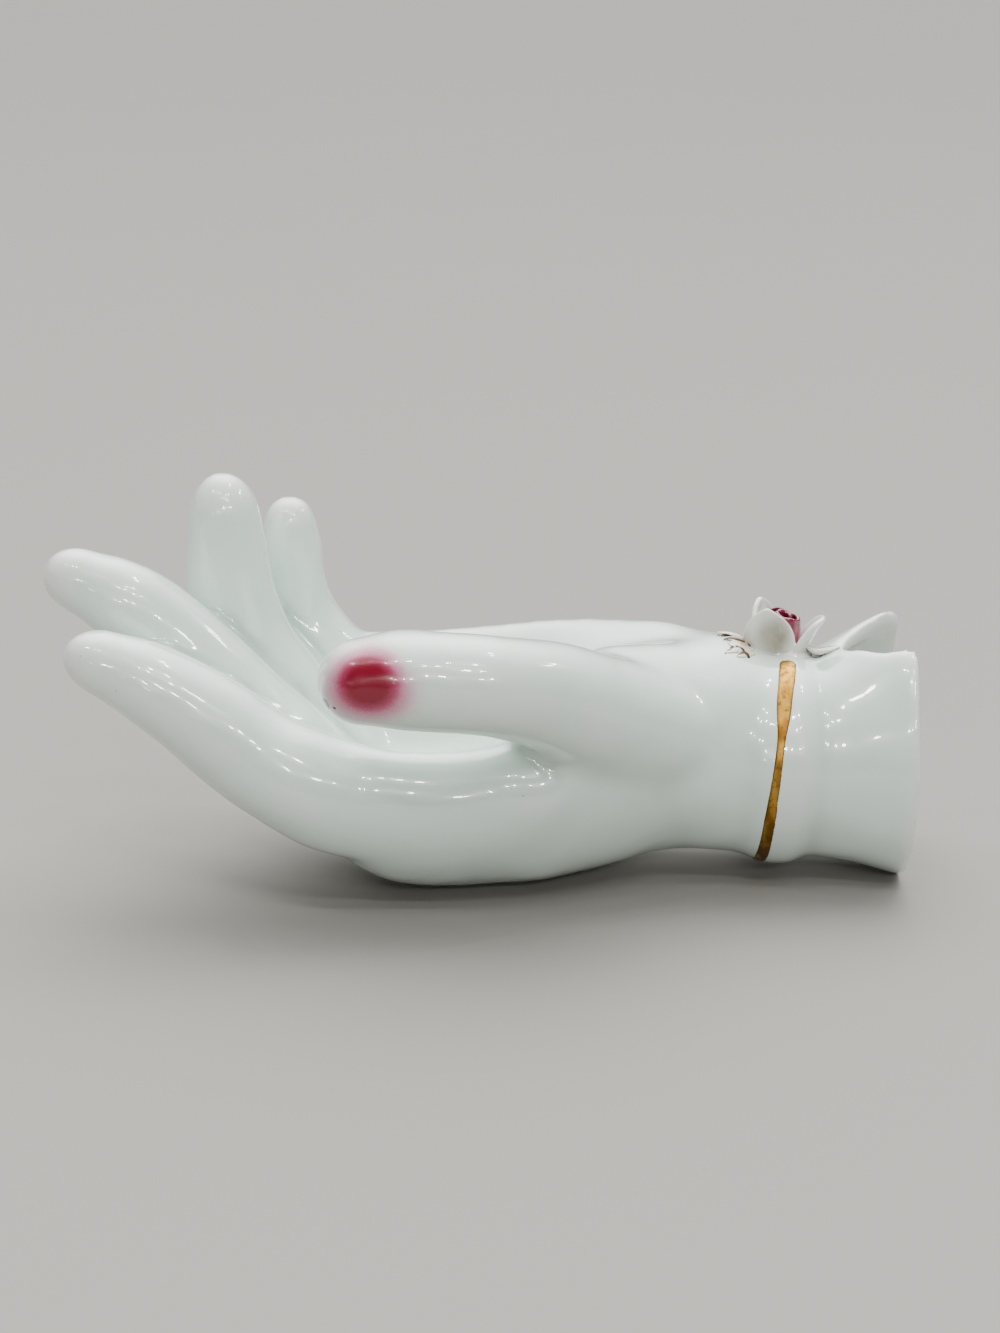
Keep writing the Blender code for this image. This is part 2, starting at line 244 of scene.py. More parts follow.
# %% [markdown]
# ## Floor and light
#
# Glaze shows its surroundings, so light is half of the finish. The sky of this room is a dome that is
# bright overhead and dim at the horizon: what faces up goes white, the sides go grey, and the floor stays
# evenly pale out to its far edge. Bright dots on glazed fingers are ceiling lamps, seen in a curved
# mirror, so small round lamps stand in pairs where such lamps would hang, each given by its bearing and
# its height above the horizon. Two low square ones make the short streaks on the nail.

# %% Floor
PAPER = (0.285, 0.272, 0.256, 1)

sheet = bmesh.new()
bmesh.ops.create_grid(sheet, x_segments=8, y_segments=8, size=9)
floor = bpy.data.objects.new("floor", bpy.data.meshes.new("floor"))
sheet.to_mesh(floor.data)
sheet.free()
bpy.context.scene.collection.objects.link(floor)
paper = Finish("paper")
shaded_paper = [0.97 * v for v in PAPER[:3]] + [1]
paper.shade(Base_Color=paper.blend(paper.noise(180), PAPER, shaded_paper), Roughness=0.85)
floor.data.materials.append(paper.material)
floor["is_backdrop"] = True
print("floor", floor.dimensions[0], "m wide")

# %% Dome of light
# The dome is brightest a little behind overhead, so that the side that the camera sees stays in half
# shade.
HORIZON, ZENITH, NARROW = 0.06, 9.0, 6.5
BRIGHTEST = (0.0, 0.48, 0.877)
DOME_STOPS = 12

world = bpy.data.worlds.new("room")
bpy.context.scene.world = world
world.use_nodes = True
sky = world.node_tree
direction = sky.nodes.new("ShaderNodeTexCoord")
height = sky.nodes.new("ShaderNodeVectorMath")
height.operation, height.inputs[1].default_value = "DOT_PRODUCT", BRIGHTEST
dome = sky.nodes.new("ShaderNodeValToRGB")
sky.links.new(direction.outputs["Generated"], height.inputs[0])
sky.links.new(height.outputs["Value"], dome.inputs["Fac"])
sky.links.new(dome.outputs["Color"], sky.nodes["Background"].inputs["Color"])
stops = dome.color_ramp.elements
while len(stops) < DOME_STOPS:
    stops.new(0.5)
for stop, up in zip(stops, np.linspace(0, 1, DOME_STOPS)):
    level = (HORIZON + (ZENITH - HORIZON) * up**NARROW) / ZENITH
    stop.position, stop.color = up, (level, level, 0.985 * level, 1)
sky.nodes["Background"].inputs["Strength"].default_value = ZENITH
print("dome from", HORIZON, "to", ZENITH)

# %% Lamps
AIM = Vector((0, 0, 0.03))
# Bearing from straight behind the camera towards the cuff and height above the horizon, in degrees.
CEILING = [(27, 59), (25, 46), (5, 51), (-22, 62), (-56, 57), (26, 28), (5, 28), (102, 70), (105, 41),
           (-12, 20)]
# How far away the ceiling lamps hang, how wide each is and how far the two of a pair stand aside, in
# metres, and the watts of each.
CEILING_AWAY, CEILING_WIDE, CEILING_ASIDE, CEILING_WATTS = 1.8, 0.075, 0.10, 1.6
# Bearings of the two low lamps, how high they stand, how far away and how wide and tall they are.
LOW_LAMPS, LOW_UP, LOW_AWAY, LOW_WIDE, LOW_TALL, LOW_WATTS = (-29, -12), 11, 2.2, 0.15, 0.09, 0.6


def lamp(name, bearing, height, away, size, watts, sideways=0.0, tall=None, colour=(1, 0.985, 0.95)):
    """A flat lamp that faces the hand."""
    light = bpy.data.lights.new(name, "AREA")
    light.shape, light.size, light.energy, light.color = "DISK", size, watts, colour
    if tall:
        light.shape, light.size_y = "RECTANGLE", tall
    holder = bpy.data.objects.new(name, light)
    bpy.context.scene.collection.objects.link(holder)
    turn, up = math.radians(bearing), math.radians(height)
    out = Vector((math.sin(turn) * math.cos(up), -math.cos(turn) * math.cos(up), math.sin(up)))
    across = Vector((math.cos(turn), math.sin(turn), 0))
    holder.location = AIM + out * away + across * sideways
    holder.rotation_euler = out.to_track_quat("Z", "Y").to_euler()
    return holder


for number, (bearing, height_up) in enumerate(CEILING):
    for side in (-1, 1):
        lamp(f"ceiling_{number}_{side + 1}", bearing, height_up, CEILING_AWAY, CEILING_WIDE, CEILING_WATTS,
             sideways=side * CEILING_ASIDE)
for bearing in LOW_LAMPS:
    lamp(f"window_{-bearing}", bearing, LOW_UP, LOW_AWAY, LOW_WIDE, LOW_WATTS, tall=LOW_TALL,
         colour=(0.96, 0.98, 1))

# %% [markdown]
# ## Porcelain
#
# The casting is white clay under a clear glaze. Three things keep it from looking like plastic. The glaze
# is a sharp mirror over a softer one, so the shader's coat does the mirror. It is thicker in hollows,
# where it looks faintly green, and the hollows are also darkened as painted shade. It is thinner on
# edges, where the white clay shows. And it is never quite flat: it ran while it was molten, which bends
# each reflection a little. The thumb nail's sprayed crimson fades out in a fog of fine dots, and the
# glaze mirrors less over it. The brown stains at the thumb's tip and the few specks are firing marks, and
# a faint grey smear lies on the wrist beside the flower.

# %% Porcelain glaze
CLAY_WHITE = (0.725, 0.85, 0.79, 1)
# Glaze that pools in hollows is greener, and it is darkened further there as painted shade.
POOLED_GLAZE_AND_SHADE = (0.46, 0.59, 0.52, 1)
THIN_GLAZE = (0.86, 0.875, 0.85, 1)
CRIMSON = (0.21, 0.004, 0.022, 1)
ROSE = (0.46, 0.07, 0.16, 1)
BLUSH = (0.70, 0.43, 0.53, 1)
BURNT_BROWN = (0.10, 0.05, 0.03, 1)
SMEAR_GREY = (0.56, 0.58, 0.56, 1)

NAIL = drawn(-19.0, -41.6, 49.2)
# Where the two brown stains lie and their half sizes in millimetres.
STAINS = [(drawn(-26.4, -37.9, 44.6), (1.3, 2.0, 2.0)), (drawn(-24.9, -39.7, 44.3), (0.55, 0.8, 0.5))]


def glazed(finish, colour, dimmed=0.0):
    """The relief and gloss that every glazed piece shares. dull takes some of the coat's mirror away."""
    waves = finish.bump(finish.noise(9, detail=1.5), 0.035)
    skin = finish.bump(finish.noise(0.55, detail=1.0), 0.0012, under=waves)
    wear = finish.noise(14, detail=5, roughness=0.65)
    return finish.shade(
        Base_Color=colour,
        Roughness=0.16 + 0.10 * wear,
        Coat_Weight=0.9 + 0.1 * wear - 0.85 * dimmed,
        Coat_Roughness=0.02,
        Coat_IOR=1.5,
        Normal=skin,
    )


porcelain = Finish("porcelain")
cloud = porcelain.noise(22, detail=3)
# Hollows take the greener pooled glaze, darkened as painted shade.
body = porcelain.blend(porcelain.painted("hollow") * (0.75 + 0.25 * cloud), CLAY_WHITE, POOLED_GLAZE_AND_SHADE)
body = porcelain.blend(porcelain.painted("edge"), body, THIN_GLAZE)
fog = porcelain.noise(0.35, detail=1) - 0.5
wide = porcelain.spot(NAIL - Vector((0, 0, 1.0)) * MM, (12.6, 14, 9.0))
high = porcelain.spot(NAIL + Vector((0.1, 0, 2.3)) * MM, (7.6, 14, 8.2))
sprayed = (0.9 * wide + 0.5 * high + 0.12 * fog).held()
body = porcelain.blend(porcelain.between(sprayed, 0.0, 0.45), body, BLUSH)
body = porcelain.blend(porcelain.between(sprayed, 0.20, 0.75), body, ROSE)
body = porcelain.blend(porcelain.between(sprayed, 0.48, 1.0), body, CRIMSON)
ragged = 0.55 * (porcelain.noise(0.8, detail=3) - 0.5)
for place, reach in STAINS:
    stain = porcelain.between(porcelain.spot(place, reach) + ragged, 0.18, 0.55)
    body = porcelain.blend(stain, body, BURNT_BROWN)
# A faint grey smear in patches on the wrist beside the flower.
smear = porcelain.spot(drawn(43.4, -12.2, 42.0), (4.6, 4.0, 4.5))
smear = smear * porcelain.between(porcelain.noise(2.2, 4), 0.45, 0.7)
body = porcelain.blend(0.35 * smear, body, SMEAR_GREY)
speck = porcelain.node(
    "ShaderNodeTexVoronoi", {"feature": "F1"}, {"Vector": porcelain.place(), "Scale": 1 / (7 * MM)}
)
body = porcelain.blend(porcelain.between(speck, 0.035, 0.018) * 0.35, body, BURNT_BROWN)
glazed(porcelain, body, dimmed=sprayed)
print("porcelain:", len(porcelain.tree.nodes), "nodes")

# %% [markdown]
# ## The casting
#
# The hand could be sculpted by eye, but a casting comes from a mould, and the mould from a few
# well-placed sections, so it is drawn the same way: rings across the forearm and the palm, and a centre
# line with a radius for each finger. The overlapping forms are pressed into one clay by a voxel remesh,
# their joins are rubbed smooth, and the hollow and the cuff's notch are cut out of them.

# %% Sections of the forearm and the palm
HEM_X, GROOVE_X, RIDGE_X, WRIST_X = 0.0800, 0.0625, 0.0566, 0.0430
HEM_Z, GROOVE_Z, RIDGE_Z, WRIST_Z = 0.0199, 0.0223, 0.0225, 0.0250
HEM_RADIUS, GROOVE_RADIUS, RIDGE_RADIUS = 0.0208, 0.0192, 0.0206
WRIST_HALF_WIDTH, WRIST_HALF_HEIGHT = 0.0208, 0.0206
RIDGE_HALF, FLARE_TUCK, NECK_TUCK = 0.00425, 0.0004, 0.0012
LAPEL_RISE, LAPEL_MIDDLE_SHARE, LAPEL_SPREAD, LAPEL_TURN = 0.0117, 0.62, 50.0, 13.2
WALL = 0.0033
ARM_LEAN = 0.03

# Places on X and the y, z points of each section, in millimetres.
PALM = {
    34: [(22, 25), (20, 35.5), (13, 44.8), (2, 44.2), (-8.5, 45.8), (-17.5, 41), (-22.5, 31), (-21, 20),
         (-14, 9.5), (-3, 4.5), (11, 7.5), (19.5, 15.5)],
    22: [(26, 25), (25, 36), (18, 43.8), (4, 41), (-10, 46.5), (-21, 43), (-27, 33), (-25.5, 19),
         (-18, 7.2), (-5, 2.2), (12, 5.2), (23, 14)],
    13: [(29, 25.5), (27.8, 35.8), (20, 42.5), (4, 35), (-12, 41), (-25, 32.8), (-30.5, 25.5), (-28, 16),
         (-19.5, 5), (-6, 0.8), (11.5, 4), (24.5, 13.5)],
    6: [(30.5, 26), (29, 35.5), (21, 41), (4, 29), (-15, 31), (-25, 32.5), (-31.5, 26), (-29.5, 15),
        (-20, 4.4), (-6, 0.2), (11, 3), (25, 13)],
    -8: [(31.5, 26.5), (29.5, 35), (22, 38.5), (3, 21), (-15, 24.5), (-24.5, 30.8), (-31.5, 24),
         (-30, 13), (-20, 3.4), (-6, -0.4), (11, 2.8), (26, 14)],
    -20: [(31, 28), (28.5, 35.5), (21.5, 38), (3, 21), (-15, 25), (-24.5, 32), (-31.5, 25), (-30, 14.5),
          (-20.5, 5.6), (-5, 2.4), (12, 6), (26, 18)],
    -32: [(29, 32), (26, 37.5), (19, 37.5), (2, 28), (-14, 31), (-24, 35.5), (-30.5, 29), (-28.5, 20),
          (-19, 14), (-3, 12), (13, 16), (25, 25)],
}
# The hollow behind the palm: x, y, z, half width and half height, in millimetres.
HOLLOW = [(34, 0, 24.6, 17.5, 15.2), (20, 0, 21.5, 19, 14), (6, -2, 14.3, 20.5, 10.3),
          (-8, -3, 10.4, 20, 6.7), (-19, -3, 11.6, 15, 5.2), (-27, -3, 14.5, 6, 2.2)]


def spans(p, steps):
    """Smooth curves through p[1] to p[-2]."""
    t = np.linspace(0, 1, steps, endpoint=False)[:, None]
    made = []
    for a, b, c, d in zip(p, p[1:], p[2:], p[3:]):
        bend, twist = 2 * a - 5 * b + 4 * c - d, 3 * b - a - 3 * c + d
        made.append(0.5 * (2 * b + (c - a) * t + bend * t**2 + twist * t**3))
    return np.vstack(made)


def open_curve(points, steps):
    p = np.array(points, float)
    p = np.vstack([2 * p[0] - p[1], p, 2 * p[-1] - p[-2]])
    return np.vstack([spans(p, steps), p[-2]])


def closed_curve(points, steps):
    p = np.array(points, float)
    return spans(np.vstack([p[-1], p, p[:2]]), steps)


def arm_ring(x, y, z, half_width, half_height, lean=0.0, rise=0.0, count=96):
    """A ring round the arm. Its top leans towards the hem, and the lapels add rise near the top."""
    ring = []
    for a in np.linspace(0, 2 * math.pi, count, endpoint=False):
        from_top = math.degrees((a - math.pi / 2 + math.pi) % (2 * math.pi) - math.pi) + LAPEL_TURN
        extra = rise * math.exp(-((from_top / LAPEL_SPREAD) ** 2))
        up = (half_height + extra) * math.sin(a)
        ring.append((x + lean * up, y + (half_width + extra) * math.cos(a), z + up))
    return ring


def forearm(inset, end, count=96):
    """Rings from the hem to the wrist, inset from the outside of the arm."""
    flare = (HEM_RADIUS + GROOVE_RADIUS) / 2 - FLARE_TUCK
    sizes = [
        (end, HEM_Z, HEM_RADIUS, HEM_RADIUS, 0, LAPEL_RISE),
        ((end + GROOVE_X) / 2, (HEM_Z + GROOVE_Z) / 2, flare, flare, ARM_LEAN / 2,
         LAPEL_RISE * LAPEL_MIDDLE_SHARE),
        (GROOVE_X, GROOVE_Z, GROOVE_RADIUS, GROOVE_RADIUS, ARM_LEAN, LAPEL_RISE / 12),
        (RIDGE_X + RIDGE_HALF * 0.6, RIDGE_Z, RIDGE_RADIUS, RIDGE_RADIUS, ARM_LEAN, 0),
        (RIDGE_X - RIDGE_HALF * 0.6, RIDGE_Z, RIDGE_RADIUS, RIDGE_RADIUS, ARM_LEAN, 0),
        (RIDGE_X - RIDGE_HALF * 1.6, (RIDGE_Z + WRIST_Z) / 2, WRIST_HALF_WIDTH - NECK_TUCK,
         WRIST_HALF_HEIGHT - NECK_TUCK / 2, 0.08, 0),
        (WRIST_X, WRIST_Z, WRIST_HALF_WIDTH, WRIST_HALF_HEIGHT, 0.04, 0),
    ]
    return [arm_ring(x, 0, z, w - inset, h - inset, lean, rise, count) for x, z, w, h, lean, rise in sizes]


# The lapels are drawn on past the hem, so that the trimmed hem has full clay to its edge.
REACH = 0.010
past_hem = arm_ring(HEM_X + REACH, 0, HEM_Z, HEM_RADIUS, HEM_RADIUS, rise=LAPEL_RISE)
arm_rings = [past_hem] + forearm(0, HEM_X + 0.002)
palm_rings = [[(x * MM, y * MM, z * MM) for y, z in closed_curve(points, 8)] for x, points in PALM.items()]
print(len(arm_rings), "rings of the arm and", len(palm_rings), "of the palm")

# %% Centre lines of the fingers
# Stations x, y, z and radius, and how far the rounded tip reaches past the last of them, in millimetres.
FINGERS = {
    "index": ([(-6, -19, 14, 8), (-17, -21.5, 18.5, 9.8), (-26, -23, 21.8, 10.6), (-33, -24, 25.5, 10.2),
               (-40, -24, 29.5, 9.5), (-48, -24, 36, 8.9), (-54, -24, 40.3, 8.2), (-60, -24, 44, 7.4),
               (-66, -24, 46.6, 6.1)], 8.6),
    "middle": ([(-14, -4, 11, 5), (-25, -6, 16, 7.6), (-34.5, -7.3, 24.8, 8.9), (-42, -8, 32, 8.8),
                (-49, -8, 39.2, 8.7), (-55, -8, 45.2, 8.5), (-61, -8, 50.7, 8.1), (-67, -8, 54.8, 7.5),
                (-72.5, -8, 57.4, 6.2)], 7.9),
    "ring": ([(-14, 5, 11, 5), (-26, 6.5, 18, 7.8), (-37, 7.7, 29.5, 9.4), (-44.5, 8, 40.2, 9.3),
              (-47.5, 8, 50, 8.8), (-48.2, 8, 58, 8.0), (-48.5, 8, 65, 7.0)], 9.6),
    "little": ([(-12, 17, 22, 7), (-27.5, 20.5, 31.5, 8.4), (-35, 22, 42, 7.1), (-37, 22, 50, 6.4),
                (-37.2, 22, 56, 6.3), (-37.5, 22, 61, 5.5)], 6.0),
    "thumb": ([(42, -8.5, 27.5, 11), (33, -12.5, 31, 11.4), (23, -19, 36, 11.2), (13, -26.2, 42, 10.2),
               (3, -32.4, 46, 9.1), (-6, -34, 47.3, 8.9), (-14, -34, 47.6, 8.9), (-20.5, -34, 47.3, 7.9)],
               8.0),
}


def mesh_of(name, shape):
    bmesh.ops.recalc_face_normals(shape, faces=shape.faces)
    mesh = bpy.data.meshes.new(name)
    shape.to_mesh(mesh)
    shape.free()
    return mesh


def loft(name, rings):
    """A closed mesh through rings of equal point counts."""
    shape = bmesh.new()
    rows = [[shape.verts.new(point) for point in ring] for ring in rings]
    for a, b in zip(rows, rows[1:]):
        for i in range(len(a)):
            shape.faces.new((a[i - 1], a[i], b[i], b[i - 1]))
    shape.faces.new(rows[0])
    shape.faces.new(rows[-1])
    return mesh_of(name, shape)


def smooth_loft(name, rings, steps):
    rings = np.array(rings, float)
    rows = open_curve(rings.reshape(len(rings), -1), steps)
    return loft(name, rows.reshape(len(rows), -1, 3))


def finger(name, stations, tip, around=32):
    """A rounded tube along its stations, ending in half an ellipsoid."""
    path = open_curve(np.array(stations) * MM, 10)
    ahead = path[-1, :3] - path[-2, :3]
    ahead /= np.linalg.norm(ahead)
    turns = np.radians(np.linspace(6, 87, 14))
    cap = [[*(path[-1, :3] + ahead * tip * MM * math.sin(a)), path[-1, 3] * math.cos(a)] for a in turns]
    path = np.vstack([path, cap])
    way = np.gradient(path[:, :3], axis=0)
    way /= np.linalg.norm(way, axis=1)[:, None]
    rings = []
    for (x, y, z, radius), t in zip(path, way):
        side = np.cross(t, (0, 1, 0))
        side /= np.linalg.norm(side)
        other = np.cross(t, side)
        centre = np.array((x, y, z))
        angles = np.linspace(0, 2 * math.pi, around, endpoint=False)
        rings.append([centre + radius * (math.cos(a) * side + math.sin(a) * other) for a in angles])
    return loft(name, rings)


print("fingers:", ", ".join(FINGERS))

# %% [markdown]
# Pressing and rubbing the clay. A remesh leaves fine steps, and plain smoothing would also shrink the
# fingers. Each pass here therefore pulls every point towards the mean of its neighbours and then pushes
# it almost as far back, which takes out the steps and keeps the form. Only the roots of the fingers get
# plain smoothing, because there the clay was rubbed into soft webs.

# %% Pressing the clay together
CLAY_GRAIN = 0.00085
NOTCH_X, NOTCH_NEAR_Y, NOTCH_FAR_Y, NOTCH_FLOOR_Z = 0.0674, -0.0080, 0.0112, 0.0370
# How far the soft webs reach round the roots of the fingers, where the heel of the hand turns into the
# arm, and how soft the arm is.
WEB_REACH, HEEL_X, ARM_SOFT = 0.013, 0.030, 0.12


def scene_object(name, mesh):
    made = bpy.data.objects.new(name, mesh)
    bpy.context.scene.collection.objects.link(made)
    return made


def applied(obj):
    """Turns the object's modifiers into its mesh."""
    bpy.context.view_layer.update()
    graph = bpy.context.evaluated_depsgraph_get()
    mesh = bpy.data.meshes.new_from_object(obj.evaluated_get(graph))
    obj.modifiers.clear()
    obj.data = mesh
    return obj


def remeshed(obj, grain):
    clay = obj.modifiers.new("clay", "REMESH")
    clay.mode, clay.voxel_size = "VOXEL", grain
    return applied(obj)


def cut(obj, mesh):
    """Cuts a closed mesh out of the object."""
    tool = scene_object("tool", mesh)
    knife = obj.modifiers.new("cut", "BOOLEAN")
    knife.operation, knife.solver, knife.object = "DIFFERENCE", "MANIFOLD", tool
    applied(obj)
    bpy.data.objects.remove(tool)
    return obj


def points_of(mesh):
    flat = np.empty(len(mesh.vertices) * 3)
    mesh.vertices.foreach_get("co", flat)
    return flat.reshape(-1, 3)


def neighbours_of(mesh):
    pairs = np.empty(len(mesh.edges) * 2, int)
    mesh.edges.foreach_get("vertices", pairs)
    return pairs.reshape(-1, 2)


def mean_of_neighbours(values, pairs, count):
    total = np.zeros_like(values)
    for k in range(values.shape[1]):
        total[:, k] = np.bincount(pairs[:, 0], values[pairs[:, 1], k], len(values))
        total[:, k] += np.bincount(pairs[:, 1], values[pairs[:, 0], k], len(values))
    return total / count[:, None]


def rubbed(mesh, passes, pull=0.55, push=0.0):
    """Moves each point towards its neighbours' mean by pull, then back by push.

    Both may be one number or differ point by point.
    """
    points, pairs = points_of(mesh), neighbours_of(mesh)
    count = np.bincount(pairs.ravel(), minlength=len(points)).clip(1)
    for _ in range(passes):
        points = points + (mean_of_neighbours(points, pairs, count) - points) * np.reshape(pull, (-1, 1))
        if np.any(push):
            back = mean_of_neighbours(points, pairs, count) - points
            points = points - back * np.reshape(push, (-1, 1))
    mesh.vertices.foreach_set("co", points.ravel())
    mesh.update()
    return points


clay = bmesh.new()
clay.from_mesh(smooth_loft("palm", arm_rings + palm_rings, 8))
for name, (stations, tip) in FINGERS.items():
    clay.from_mesh(finger(name, stations, tip))
hand = scene_object("porcelain_hand", mesh_of("porcelain_hand", clay))
remeshed(hand, CLAY_GRAIN)

at = points_of(hand.data)
roots = [np.array(stations[k][:3]) * MM for stations, _ in FINGERS.values() for k in (2, 3)]
near = np.min([np.linalg.norm(at - root, axis=1) for root in roots], axis=0)
soft = 0.30 + 0.70 * np.exp(-((near / WEB_REACH) ** 2))
along_arm = np.clip((at[:, 0] - HEEL_X) / (WRIST_X - HEEL_X), 0, 1)
soft = soft * (1 - along_arm) + ARM_SOFT * along_arm
rubbed(hand.data, 30, pull=0.5 * soft)
rubbed(hand.data, 12, pull=0.5, push=0.52)
print("clay:", len(hand.data.vertices), "points")

# %% [markdown]
# The hollow runs from the open cuff to behind the knuckles, with a wall of about three millimetres, which
# is what a thick slip casting has. The notch parts the cuff's two lapels: its far side is straight, its
# near side an arc. The hem is trimmed flat, and the lapels' top corners are trimmed round. Each of the
# three is a closed form that is cut out of the clay.

# %% Hollow, notch and hem
hollow = forearm(WALL, HEM_X + 0.004, 64)
hollow += [arm_ring(*(v * MM for v in row), count=64) for row in HOLLOW]
cut(hand, smooth_loft("hollow", hollow, 6))

# The sides of the notch: share of the way from its root to the hem, and share of its width at the hem.
# Both sides run on past the hem, and the notch past the top of the lapels.
NOTCH_END, NOTCH_TOP_Z = 1.76, 0.07
NOTCH_NEAR_SIDE = [(0, 0), (0.2, 0.37), (0.45, 0.68), (0.7, 0.87), (1, 1), (NOTCH_END, 1.3)]
NOTCH_FAR_SIDE = [(NOTCH_END, NOTCH_END), (1, 1), (0.5, 0.5)]
wedge = [(along, out * NOTCH_NEAR_Y) for along, out in NOTCH_NEAR_SIDE]
wedge += [(along, out * NOTCH_FAR_Y) for along, out in NOTCH_FAR_SIDE]
wedge = [(NOTCH_X + along * (HEM_X - NOTCH_X), y) for along, y in wedge]
cut(hand, loft("notch", [[(x, y, z) for x, y in wedge] for z in (NOTCH_FLOOR_Z, NOTCH_TOP_Z)]))

# Well outside the hand, in metres.
FAR = 0.2
# Between these heights the hem curves back, by this much in all.
CORNER_Z, CORNER_TOP_Z, CORNER_BACK = 0.0430, 0.0482, 0.0034
# Clay that is left on at the hem, to be rubbed round with the lips and then pressed flat.
HEM_SPARE = 0.0011
hem = []
for z in (-FAR, *np.linspace(CORNER_Z, CORNER_TOP_Z, 13), FAR):
    share = min(max(z - CORNER_Z, 0) / (CORNER_TOP_Z - CORNER_Z), 1)
    x = HEM_X + HEM_SPARE - CORNER_BACK * (1 - math.sqrt(1 - share**2))
    hem.append([(x, -FAR, z), (x + FAR, -FAR, z), (x + FAR, FAR, z), (x, FAR, z)])
cut(hand, loft("hem", hem))

# %% [markdown]
# Knife cuts leave sharp edges, and a maker wipes them round with a wet sponge. A second remesh gives the
# cuts the same grain as the rest. The cuff's lips are then rubbed with plain smoothing, which takes clay
# away, strongest at the edge and fading out over a few millimetres. A longer rub of the whole cuff takes
# out the last steps, and the hem is pressed flat again, as on a glass plate.

# %% Rounding the lips
# How far from an edge the lips are rubbed round, and over what length the rub fades out at the groove.
LIP_REACH, CUFF_FADE = 0.0026, 0.004

remeshed(hand, CLAY_GRAIN)
rubbed(hand.data, 5, pull=0.5, push=0.42)
rubbed(hand.data, 14, pull=0.5, push=0.52)
at = points_of(hand.data)
on_cuff = np.clip((at[:, 0] - GROOVE_X) / CUFF_FADE, 0, 1)
share = np.clip((at[:, 0] - NOTCH_X) / (HEM_X - NOTCH_X), 0, None)
near_side = NOTCH_NEAR_Y * np.interp(share, *zip(*NOTCH_NEAR_SIDE))
lip = [np.abs(at[:, 1] - near_side), np.abs(at[:, 1] - NOTCH_FAR_Y * share)]
lip = [np.where(at[:, 2] > NOTCH_FLOOR_Z, side, 1) for side in lip]
from_edge = np.min([*lip, HEM_X + HEM_SPARE - at[:, 0]], axis=0)
lip = np.exp(-((from_edge / LIP_REACH) ** 2)) * on_cuff
rubbed(hand.data, 24, pull=0.5 * lip)
rubbed(hand.data, 60, pull=0.5 * on_cuff, push=0.52 * on_cuff)
at = points_of(hand.data)
print("the hem stands", round((at[:, 0].max() - HEM_X) / MM, 2), "mm proud before it is pressed flat")
at[:, 0] = np.minimum(at[:, 0], HEM_X)
hand.data.vertices.foreach_set("co", at.ravel())
hand.data.update()
triangles = sum(len(face.vertices) - 2 for face in hand.data.polygons)
print("hollow casting:", len(hand.data.vertices), "points,", triangles, "triangles")

# %% [markdown]
# ## Nail, table and glaze map
#
# The thumb nail is a shallow plateau: its edge is what bends the reflection inside the crimson. A
# hand-fettled casting is never quite smooth either, and the slow dents left by the sponge show in every
# reflection, so the whole surface moves in and out by up to a quarter of a millimetre. The clay that
# would sink below the table is pressed flat, as it is in the kiln. Then each point learns how hollow or
# how sharp the surface is round it, which the porcelain's colour uses: the distance to a blurred copy of
# the surface tells a hollow from an edge.

# %% Nail, dents and table
# The nail's half sizes and how far it stands raised, then the width and depth of the sponge's dents, all
# in millimetres.
NAIL_SIZE, NAIL_RAISED = (5.8, 9.0, 5.0), 0.13
DENTS = [(11.0, 0.24), (4.5, 0.06)]
# Height over which the dents fade out towards the table, in metres.
TABLE_FADE = 0.004

points = points_of(hand.data)
points[:, 1] += ARM_AXIS_Y * MM
points[:, 2] = np.maximum(points[:, 2], 0)
outward = np.array([v.normal for v in hand.data.vertices])

dents = [sum(depth * noise.noise(Vector(point) / (size * MM)) for size, depth in DENTS) for point in points]
off_table = np.clip(points[:, 2] / TABLE_FADE, 0, 1)
nail_reach = np.linalg.norm((points - NAIL) / (np.array(NAIL_SIZE) * MM), axis=1)
raised = NAIL_RAISED * np.clip((1.06 - nail_reach) / 0.16, 0, 1) ** 2
points += outward * ((np.array(dents) * off_table + raised) * MM)[:, None]

hand.data.vertices.foreach_set("co", points.ravel())
hand.data.update()


def shape_marks(mesh, passes, hollow_mm, edge_mm):
    """Keeps on each point how hollow and how sharp the surface is there, from 0 to 1."""
    points, pairs = points_of(mesh), neighbours_of(mesh)
    count = np.bincount(pairs.ravel(), minlength=len(points)).clip(1)
    blurred = points.copy()
    for _ in range(passes):
        blurred = mean_of_neighbours(blurred, pairs, count)
    outward = np.array([v.normal for v in mesh.vertices])
    dip = ((blurred - points) * outward).sum(axis=1) / MM
    for name, share in (("hollow", dip / hollow_mm), ("edge", -dip / edge_mm - 0.25)):
        kept = mesh.attributes.new(name, "FLOAT", "POINT")
        kept.data.foreach_set("value", np.clip(share, 0, 1).astype(np.float32))
    return dip


dip = shape_marks(hand.data, 14, hollow_mm=0.45, edge_mm=0.65)
hand.data.shade_smooth()
hand.data.materials.clear()
hand.data.materials.append(porcelain.material)
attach(hand, "root")
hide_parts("hand")
print("deepest dip", round(dip.max(), 2), "mm, sharpest edge", round(-dip.min(), 2), "mm")

# %% [markdown]
# ## What sits on the casting
#
# Gold, leaves and petals all follow the glaze under them. A tree of the casting's faces answers two
# questions quickly: where a ray meets the glaze, which `drop` asks to let a point fall onto the hand from
# above, and which point of the glaze is nearest to another, which the brush asks later.

# %% Finding the glaze
bpy.context.view_layer.update()
hand_skin = BVHTree.FromObject(hand, bpy.context.evaluated_depsgraph_get())


def drop(x, y, skin=hand_skin):
    """The height of the surface above a place, in metres."""
    return skin.ray_cast(Vector((x, y, 0.2)), Vector((0, 0, -1)))[0].z


